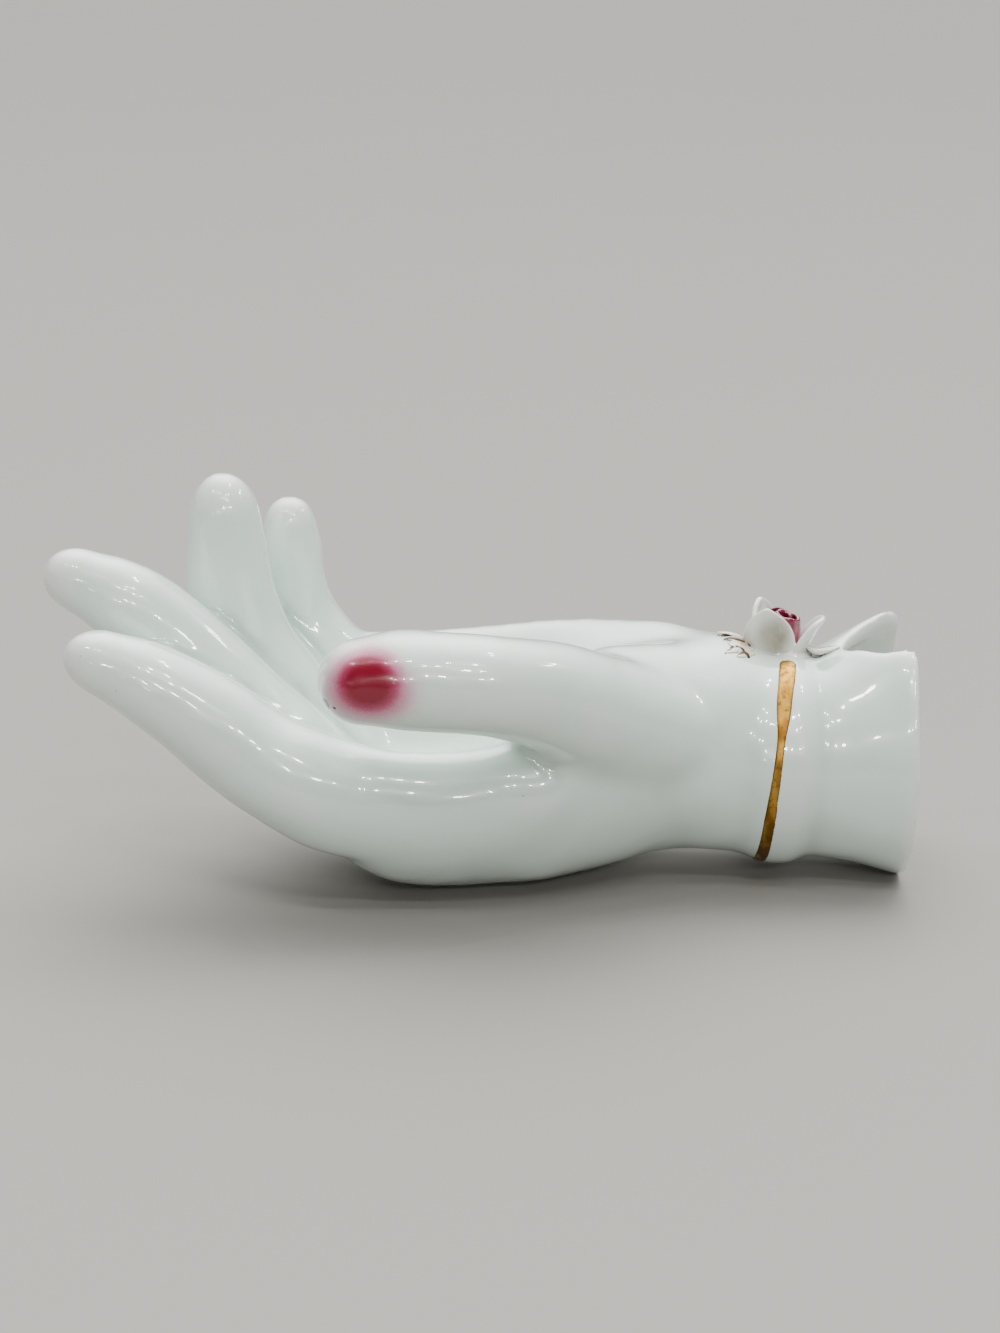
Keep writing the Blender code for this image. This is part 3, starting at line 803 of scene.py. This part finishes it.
def piece(name, mesh, material, slot, *nodes, rounds=0):
    """A finished piece: it rides with the hand, and stands for the solids that are named."""
    made = scene_object(name, mesh)
    if rounds:
        soften = made.modifiers.new("rounds", "SUBSURF")
        soften.levels = soften.render_levels = rounds
        applied(made)
    made.data.shade_smooth()
    made.data.materials.clear()
    made.data.materials.append(material)
    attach(made, "root")
    if nodes:
        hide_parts(*nodes)
    return made


def mesh_taken(obj):
    """The object's mesh, without the object."""
    mesh = obj.data
    bpy.data.objects.remove(obj)
    return mesh


def skin_of(*objects):
    """One surface made of several objects, to lay something on."""
    shape = bmesh.new()
    for obj in objects:
        shape.from_mesh(obj.data)
    made = BVHTree.FromBMesh(shape)
    shape.free()
    return made


FLOWER = drawn(56.9, 1.7, 0)
FLOWER.z = drop(FLOWER.x, FLOWER.y)
print("the flower stands", round(FLOWER.z / MM, 1), "mm above the table")

# %% [markdown]
# ## Petals
#
# A maker pinches each petal from a ball of clay, wraps it round the bud and welds its foot to the wrist
# with slip. A petal here is a grid bent into part of a tube, thickened and rounded. The three of them and
# a low ring of slip are then remeshed into one, which makes the soft weld at their feet. The front
# petal's face is darkened to grey as painted shade, its rims are whitened as thin glaze and as a painted
# highlight, the whitest thing on the piece, and crimson bled from the bud onto the petals' inner faces.

# %% Petals
# How far a petal's foot reaches below the glaze, how far it bellies out and how thick it is, in
# millimetres.
PETAL_FOOT, PETAL_BELLY, PETAL_THICK = 1.2, 0.75, 1.05
PETAL_ROWS, PETAL_COLUMNS = 16, 13
# Which way a petal faces round the bud, how far it and then its tip lie aside, its lean, half its width,
# its height, its distance from the bud's axis, the radius that it is bent to, how wide its foot is
# against its middle, and how sharp its tip is. Angles in degrees, sizes in millimetres.
PETALS = {
    "petal_front": (-98, -2.7, -0.7, 3, 5.6, 9.0, 3.8, 6.0, 0.95, 0.92),
    "petal_left": (140, 0.2, 0.0, 6, 5.2, 9.1, 4.7, 5.2, 0.85, 0.80),
    "petal_right": (-10, -0.2, 0.0, 31, 4.1, 6.7, 3.3, 3.6, 1.0, 0.30),
}


def petal(name, facing, aside, tip_aside, lean, half_width, height, distance, bend, foot, sharp):
    """A thin sheet bent round the flower's axis, from below the glaze to its tip."""
    shape = bmesh.new()
    grid = []
    f = math.radians(facing)
    for u in np.linspace(0, 1, PETAL_ROWS):
        up = u * (height + PETAL_FOOT) - PETAL_FOOT
        out = distance + PETAL_BELLY * math.sin(math.pi * u) + math.tan(math.radians(lean)) * max(up, 0) * u
        reach = half_width * (foot + (1 - foot) * math.sin(math.pi / 2 * min(u / 0.45, 1)))
        reach *= (1.01 - u**3.2) ** sharp
        line = []
        for v in np.linspace(-1, 1, PETAL_COLUMNS):
            a = v * reach / bend
            inward = bend * (1 - math.cos(a))
            side = bend * math.sin(a) + aside + tip_aside * u * u
            x = FLOWER.x + ((out - inward) * math.cos(f) - side * math.sin(f)) * MM
            y = FLOWER.y + ((out - inward) * math.sin(f) + side * math.cos(f)) * MM
            z = FLOWER.z + up * MM + (drop(x, y) - FLOWER.z) * (1 - u) ** 2
            line.append(shape.verts.new((x, y, z)))
        grid.append(line)
    for a, b in zip(grid, grid[1:]):
        for i in range(PETAL_COLUMNS - 1):
            shape.faces.new((a[i], a[i + 1], b[i + 1], b[i]))
    made = scene_object(name, mesh_of(name, shape))
    thick = made.modifiers.new("thick", "SOLIDIFY")
    thick.thickness, thick.offset = PETAL_THICK * MM, 0
    soften = made.modifiers.new("soften", "SUBSURF")
    soften.levels = soften.render_levels = 2
    return mesh_taken(applied(made))


print("petals:", ", ".join(PETALS))

# %% Slip and weld
SLIP_GRAIN = 0.00019


def slip_ring(inner=2.2, crest=4.4, outer=6.3, height=0.7, aside=(-0.6, 0.3), around=48):
    """A low ring of slip that lies on the wrist round the flower."""
    radii = np.array([inner, (inner + crest) / 2, crest, (crest + outer) / 2, outer])
    heights = np.array([-0.5, 0.6, 1.0, 0.40, -0.35]) * height
    radii, heights = np.append(radii, radii[::-1]), np.append(heights, np.full(5, -1.6))
    rings = []
    for a in np.linspace(0, 2 * math.pi, around, endpoint=False):
        ring = []
        for r, h in zip(radii, heights):
            r *= 1 + 0.10 * math.cos(2 * a) + 0.04 * math.sin(5 * a)
            x = FLOWER.x + (aside[0] + r * math.cos(a)) * MM
            y = FLOWER.y + (aside[1] + r * math.sin(a)) * MM
            ring.append((x, y, drop(x, y) + h * MM))
        rings.append(ring)
    shape = bmesh.new()
    rows = [[shape.verts.new(point) for point in ring] for ring in rings]
    for i, a in enumerate(rows):
        b = rows[(i + 1) % len(rows)]
        for k in range(len(a)):
            shape.faces.new((a[k - 1], a[k], b[k], b[k - 1]))
    return mesh_of("slip", shape)


def welded(name, meshes, grain, passes):
    """Meshes pressed into one clay and rubbed smooth."""
    shape = bmesh.new()
    for mesh in meshes:
        shape.from_mesh(mesh)
    clay = remeshed(scene_object(name, mesh_of(name, shape)), grain)
    rubbed(clay.data, passes, pull=0.5)
    rubbed(clay.data, passes, pull=0.5, push=0.5)
    return mesh_taken(clay)


petal_white = Finish("petal_white")
cloud = petal_white.noise(3.5, detail=3)
white = petal_white.blend(cloud, [0.88, 0.91, 0.88, 1], [0.80, 0.83, 0.78, 1])
warm = petal_white.between(petal_white.noise(1.6, detail=4), 0.40, 0.75)
white = petal_white.blend(0.30 * warm, white, [0.66, 0.62, 0.52, 1])
# The front petal's face, inside its rims, is darkened to grey as painted shade.
painted_front_shade = petal_white.spot(FLOWER + Vector((-2.4, -5.2, 3.2)) * MM, (5.6, 3.2, 6.0), edge=0.7)
grey = petal_white.between(petal_white.noise(2.0, detail=3), 0.2, 0.8)
dimmed = petal_white.blend(grey, [0.30, 0.28, 0.21, 1], [0.44, 0.43, 0.35, 1])
inside_edges = 1 - petal_white.between(petal_white.painted("edge"), 0.05, 0.6)
white = petal_white.blend(painted_front_shade * inside_edges, white, dimmed)
# The rims are whitened, as thin glaze and as a painted highlight.
rims = petal_white.between(petal_white.painted("edge"), 0.15, 0.7)
white = petal_white.blend(rims, white, [0.93, 0.94, 0.92, 1])
near_bud = petal_white.spot(FLOWER + Vector((2.0, -0.6, 4.6)) * MM, (3.6, 3.6, 4.4), edge=0.8)
fade = petal_white.between(near_bud + 0.25 * (petal_white.noise(0.7, detail=3) - 0.5), 0.10, 0.75)
white = petal_white.blend(0.8 * fade, white, [0.62, 0.16, 0.30, 1])
glazed(petal_white, white)

clay_petals = [petal(name + "_clay", *sizes) for name, sizes in PETALS.items()]
flower_mesh = welded("flower", clay_petals + [slip_ring()], SLIP_GRAIN, 5)
shape_marks(flower_mesh, 12, hollow_mm=0.20, edge_mm=0.16)
petals = piece("flower_petals", flower_mesh, petal_white.material, "porcelain", *PETALS)
print("petals and slip:", len(petals.data.polygons), "faces")

# %% [markdown]
# ## Bud
#
# The bud is one strip of clay rolled up like a rosebud, so it is lofted along a spiral: at each step a
# rounded cross-section of the strip stands upright. Its rim dips on the cuff side, as it does in the
# photograph. Its crimson overglaze goes from dark to pale in cloudy patches and upright streaks, and it is
# paler on one patch at the front of the bud, on the cuff side.

# %% Bud
# How often the strip is rolled, then its thickness, outer radius and top, in millimetres.
BUD_TURNS, BUD_THICK, BUD_RADIUS, BUD_TOP = 1.7, 0.85, 3.15, 6.1


def rolled_strip(steps=110):
    """A closed strip that is rolled round the flower's axis."""
    rings = []
    for s in np.linspace(0, 1, steps):
        a = math.radians(-60) + 2 * math.pi * BUD_TURNS * s
        radius = 0.5 + (BUD_RADIUS - 0.5) * s**0.9
        top = BUD_TOP + 0.5 * (1 - s) - 0.85 * math.cos(a + 0.35) * (0.3 + 0.7 * s) + 0.12 * math.sin(4 * a)
        half = BUD_THICK / 2 * min(1, 0.25 + 7 * min(s, 1 - s))
        turn = np.linspace(0, math.pi, 9)
        outline = [(half, u) for u in np.linspace(0, 1, 9)]
        outline += [(half * math.cos(t), 1 + 0.07 * math.sin(t)) for t in turn[1:-1]]
        outline += [(-half, u) for u in np.linspace(1, 0, 9)]
        ring = []
        for side, u in outline:
            belly = 0.86 + 0.22 * math.sin(math.pi * min(u, 1) * 0.75)
            r = radius * belly + side
            z = FLOWER.z + (-1.0 + (top + 1.0) * u) * MM
            ring.append((FLOWER.x + r * MM * math.cos(a), FLOWER.y + r * MM * math.sin(a), z))
        rings.append(ring)
    return loft("bud", rings)


# The overglaze from its darkest to its palest.
OVERGLAZE_STOPS = [
    (0.28, (0.06, 0.001, 0.008, 1)),
    (0.50, (0.17, 0.004, 0.03, 1)),
    (0.72, (0.33, 0.03, 0.09, 1)),
]
overglaze = Finish("crimson_overglaze")
pool = overglaze.noise(1.5, detail=4, roughness=0.6)
streak = overglaze.noise(0.6, detail=3, stretch=(1, 1, 0.22))
red = overglaze.node(
    "ShaderNodeValToRGB",
    {"stops": OVERGLAZE_STOPS},
    {"Fac": 0.6 * pool + 0.4 * streak},
    out="Color",
)
# A paler patch, in streaks, at the front of the bud on the cuff side.
pale_patch = overglaze.spot(FLOWER + Vector((1.8, -2.6, 2.6)) * MM, (2.4, 2.4, 3.2))
pale_patch = 0.7 * pale_patch * overglaze.between(streak, 0.38, 0.66)
red = overglaze.blend(pale_patch, red, [0.50, 0.13, 0.22, 1])
glazed(overglaze, red)
bud = piece("flower_bud_rolled", rolled_strip(), overglaze.material, "crimson", "flower_bud", rounds=1)
print("bud:", len(bud.data.polygons), "faces")

# %% [markdown]
# ## Leaves
#
# The leaves are thin scraps of clay pressed onto the wrist: the left one is cut into pointed lobes, the
# right one is a single flat tongue. Each lobe is drawn from its stalk to its tip as a low pad that is
# round in section and follows the wrist under it, and the lobes of one leaf are welded as the petals are.

# %% Leaves
LEAF_GRAIN = 0.00014
# Stalk x, y and tip x, y in the frame, width, thickness and how far the stalk and then the tip lift, in
# millimetres.
LEFT_LOBES = [(50.6, 7.6, 43.9, 7.3, 2.8, 1.10, 0, 0.55), (50.8, 5.6, 44.9, 4.6, 2.3, 0.85, 0, 0.35),
              (51.2, 4.2, 45.7, 2.6, 4.6, 0.50, 0, 0.10), (51.0, 3.6, 44.7, -0.9, 2.1, 0.42, 0, 0.10),
              (51.2, 2.2, 46.9, -1.3, 1.9, 0.38, 0, 0.08)]
RIGHT_LOBES = [(59.6, 5.6, 67.4, 5.2, 3.8, 0.9, 1.7, 0.15)]


def lobe(name, stalk_x, stalk_y, tip_x, tip_y, width, thick, stalk_lift, lift, steps=22, across=9):
    """A pointed pad that lies on the wrist."""
    stalk, tip = Vector((stalk_x, stalk_y, 0)), Vector((tip_x, tip_y, 0))
    side = (tip - stalk).normalized().cross(Vector((0, 0, 1)))
    rings = []
    for s in np.linspace(0.01, 0.995, steps):
        half = width / 2 * (s**0.6 * (1 - s) ** 0.75) / 0.485
        ring = []
        for t in np.linspace(0, 2 * math.pi, 2 * across, endpoint=False):
            flat = stalk + (tip - stalk) * s + side * half * math.cos(t)
            high = thick * (1 - 0.35 * s) * math.sin(t) * (1 if t < math.pi else 0.5)
            high *= min(1, 2.2 * half / width)
            high += lift * s * s + stalk_lift * (1 - s) ** 2
            ring.append((flat.x * MM, flat.y * MM, drop(flat.x * MM, flat.y * MM) + high * MM))
        rings.append(ring)
    return loft(name, rings)


def leaf_finish(name, cream, tan, tan_at, tan_reach):
    """Cream glaze with a second tone round one point: a tan wash on the left leaf, a darker grey on the
    right.
    """
    made = Finish(name)
    base = made.blend(made.noise(2.4, detail=4), cream, [0.86 * v for v in cream[:3]] + [1])
    ragged = 0.5 * (made.noise(1.0, detail=4) - 0.5)
    second_tone = made.between(made.spot(tan_at, tan_reach) + ragged, 0.15, 0.75)
    return glazed(made, made.blend(0.8 * second_tone, base, tan))


def leaf(name, node_name, lobes, finish):
    mesh = welded(name, [lobe(name + "_lobe", *sizes) for sizes in lobes], LEAF_GRAIN, 3)
    return piece(name, mesh, finish, "leaf_cream", node_name)


LEFT_STALK, RIGHT_MIDDLE = Vector((48.9, 4.8, 44.6)) * MM, Vector((62.5, 5.4, 43.5)) * MM
cream_leaf = leaf_finish(
    "leaf_cream", [0.76, 0.72, 0.61, 1], [0.46, 0.31, 0.18, 1], LEFT_STALK, (3.0, 4.0, 3.2)
)
# The right leaf turns a darker grey round its middle.
grey_leaf = leaf_finish(
    "leaf_grey", [0.60, 0.60, 0.52, 1], [0.44, 0.43, 0.36, 1], RIGHT_MIDDLE, (2.4, 2.4, 3)
)
leaf_left = leaf("leaf_left_lobed", "leaf_left", LEFT_LOBES, cream_leaf)
leaf_right = leaf("leaf_right_tongue", "leaf_right", RIGHT_LOBES, grey_leaf)
print("leaves:", len(leaf_left.data.polygons) + len(leaf_right.data.polygons), "faces")

# %% [markdown]
# ## Gold
#
# Bright gold is a liquid that is brushed over the fired glaze, so it lies a few hundredths of a
# millimetre proud, has the brush's round start, and swells and thins with its pressure. A brush line here
# is a path over the glaze: at each step a row of points crosses it, each set on the surface under it, and
# the edge ones dip just under the glaze. The gold is darkest along its rims, and darker beside the front
# petal.

# %% Brush lines
gold = Finish("bright_gold")
worn = gold.noise(1.1, detail=5, roughness=0.62)
drag = gold.noise(2.6, detail=3, stretch=(1, 0.35, 0.35))
rim = gold.painted("rim")
dragged = gold.between(drag, 0.36, 0.62)
metal = gold.blend(dragged, [0.22, 0.10, 0.016, 1], [0.50, 0.28, 0.05, 1])
# The gold is darker beside the front petal.
darker_by_petal = gold.spot(FLOWER + Vector((-0.1, -5.0, -0.4)) * MM, (3.6, 3.2, 3.6))
metal = gold.blend(0.75 * darker_by_petal, metal, [0.12, 0.045, 0.006, 1])
metal = gold.blend(gold.between(worn, 0.50, 0.68) * 0.7, metal, [0.10, 0.042, 0.006, 1])
metal = gold.blend(gold.between(rim, 0.45, 1.0) * 0.85, metal, [0.07, 0.045, 0.02, 1])
gold.shade(
    Base_Color=metal,
    Metallic=1.0,
    Roughness=0.20 + 0.24 * worn + 0.15 * rim,
    Normal=gold.bump(gold.noise(0.7, detail=4), 0.012, under=gold.bump(drag, 0.03)),
)


# How far the brush's edges and the hidden underside lie below the glaze, in millimetres.
EDGE_DIPS, UNDERSIDE = 0.02, 0.12


def brush_line(name, skin, path, widths, proud=0.045, across=7, steps=6, metal=gold, slot="porcelain"):
    """A closed ribbon of gold along points of a surface. widths are in millimetres, one for each point."""
    rows = open_curve(np.array([[*p, w] for p, w in zip(path, widths)]), steps)
    places, wide = rows[:, :3], rows[:, 3]
    shape = bmesh.new()
    tops, bottoms, rims = [], [], []
    for k, centre in enumerate(places):
        ahead = Vector(places[min(k + 1, len(places) - 1)] - places[max(k - 1, 0)]).normalized()
        on, facing = skin.find_nearest(Vector(centre))[:2]
        side = ahead.cross(facing).normalized()
        top_line, bottom_line = [], []
        for v in np.linspace(-1, 1, across):
            spot, out = skin.find_nearest(on + side * v * wide[k] / 2 * MM)[:2]
            rise = proud * (1 - v**4) - EDGE_DIPS * v**4
            top_line.append(shape.verts.new(spot + out * rise * MM))
            bottom_line.append(shape.verts.new(spot - out * UNDERSIDE * MM))
            rims.append(max(abs(v), 1 - min(k, len(places) - 1 - k) / 3))
        tops.append(top_line)
        bottoms.append(bottom_line)
    for grid in (tops, bottoms):
        for a, b in zip(grid, grid[1:]):
            for i in range(across - 1):
                shape.faces.new((a[i], a[i + 1], b[i + 1], b[i]))
    for i in range(across - 1):
        for k in (0, -1):
            shape.faces.new((tops[k][i], tops[k][i + 1], bottoms[k][i + 1], bottoms[k][i]))
    for k in range(len(tops) - 1):
        for i in (0, -1):
            shape.faces.new((tops[k][i], tops[k + 1][i], bottoms[k + 1][i], bottoms[k][i]))
    mesh = mesh_of(name, shape)
    kept = mesh.attributes.new("rim", "FLOAT", "POINT")
    kept.data.foreach_set("value", np.repeat(np.array(rims, np.float32), 2).clip(0, 1))
    return piece(name, mesh, metal.material, slot)


# %% The line round the bracelet
# Degrees round the arm from the top towards the thumb side, place along the arm and width, in
# millimetres.
BAND = [(12.5, 57.0, 0.5), (13.2, 56.98, 1.7), (15, 56.9, 2.6), (18, 56.8, 3.0), (30, 56.2, 2.9),
        (41, 55.6, 2.7), (49, 55.3, 2.5), (57, 55.0, 1.9), (64, 54.7, 1.45), (74, 54.3, 1.4),
        (84, 53.9, 1.55), (95, 53.5, 1.7), (107, 53.2, 2.0), (122, 52.95, 2.1), (139, 52.7, 2.2),
        (158, 52.5, 2.0), (180, 52.4, 1.7), (202, 52.5, 1.6), (222, 52.7, 1.9), (245, 53.1, 2.1),
        (268, 53.7, 1.8), (290, 54.5, 1.6), (308, 55.3, 2.2), (324, 56.1, 2.7), (338, 56.6, 2.6),
        (342, 56.75, 1.9), (343.5, 56.8, 0.6)]
# The brush's edges dip under the glaze, so the line is laid wider than it shows.
BAND_SPREAD = 1.22
# Height of the bracelet's axis and how far outside it each search for the glaze starts, in millimetres.
BRACELET_Z, OUTSIDE = 22.5, 40
band_path = []
for turn, x, _ in BAND:
    a = math.radians(turn)
    from_outside = drawn(x, -OUTSIDE * math.sin(a), BRACELET_Z + OUTSIDE * math.cos(a))
    inward = drawn(x, 0, BRACELET_Z) - from_outside
    band_path.append(hand_skin.ray_cast(from_outside, inward.normalized())[0])
band_widths = [BAND_SPREAD * w for *_, w in BAND]
band = brush_line("gold_bracelet_line", hand_skin, band_path, band_widths)
print("bracelet line:", len(band.data.polygons), "faces")

# %% Strokes on the leaves
# Gold on the leaves is thinner, so it fired to a dark brown bronze. x and y of each stroke in the frame
# and its widths, in millimetres.
STROKES = {
    "gold_leaf_edge": ([(44.1, 7.2), (45.6, 8.0), (47.2, 8.2), (48.9, 7.6)], [0.15, 0.30, 0.40, 0.5]),
    "gold_leaf_vein": ([(44.3, 6.7), (46.0, 6.5), (47.6, 6.2), (49.2, 5.6)], [0.20, 0.50, 0.80, 0.55]),
    "gold_leaf_second": ([(45.0, 4.3), (46.4, 4.5), (47.8, 4.6), (49.2, 4.7)], [0.12, 0.42, 0.60, 0.4]),
    "gold_leaf_stalk": ([(48.9, 8.0), (49.5, 6.4), (50.0, 4.6), (50.0, 3.4)], [0.3, 0.55, 0.5, 0.3]),
    "gold_leaf_third": ([(45.0, -0.9), (46.0, 0.6), (46.8, 1.8), (47.7, 2.1)], [0.20, 0.50, 0.80, 0.5]),
    "gold_leaf_join": ([(47.3, 2.2), (48.3, 1.7), (49.0, 0.6), (49.6, -0.4)], [0.3, 0.50, 0.45, 0.2]),
    "gold_leaf_fourth": ([(47.3, -0.7), (48.2, 0.2), (48.9, 0.6), (49.6, -0.3)], [0.15, 0.5, 0.8, 0.5]),
    "gold_right_leaf_edge": (
        [(60.8, 6.9), (62.8, 6.9), (64.9, 6.4), (67.1, 5.3)], [0.15, 0.35, 0.35, 0.15]
    ),
    "gold_right_leaf_vein": ([(60.6, 4.6), (62.4, 4.0), (64.3, 4.0)], [0.15, 0.3, 0.12]),
}
bronze = Finish("bronzed_gold")
patchy = bronze.noise(0.8, detail=4)
burnt = bronze.between(patchy, 0.4, 0.65)
bronze.shade(
    Base_Color=bronze.blend(burnt, [0.022, 0.016, 0.010, 1], [0.10, 0.062, 0.028, 1]),
    Metallic=0.45,
    Roughness=0.30 + 0.2 * patchy,
    Normal=bronze.bump(patchy, 0.03),
)
leafy_skin = skin_of(hand, leaf_left, leaf_right)
# Like the line round the bracelet, a stroke is laid wider than it shows.
STROKE_SPREAD = 1.5
for name, (line, widths) in STROKES.items():
    laid = [(x * MM, y * MM, drop(x * MM, y * MM, leafy_skin)) for x, y in line]
    widths = [STROKE_SPREAD * w for w in widths]
    brush_line(name, leafy_skin, laid, widths, proud=0.05, across=5, metal=bronze, slot="leaf_cream")
print("strokes:", len(STROKES))

# %% [markdown]
# ## Leaving the lesson
#
# The dressed hand's box is measured.

# %% Sizes, then the last line
low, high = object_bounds()
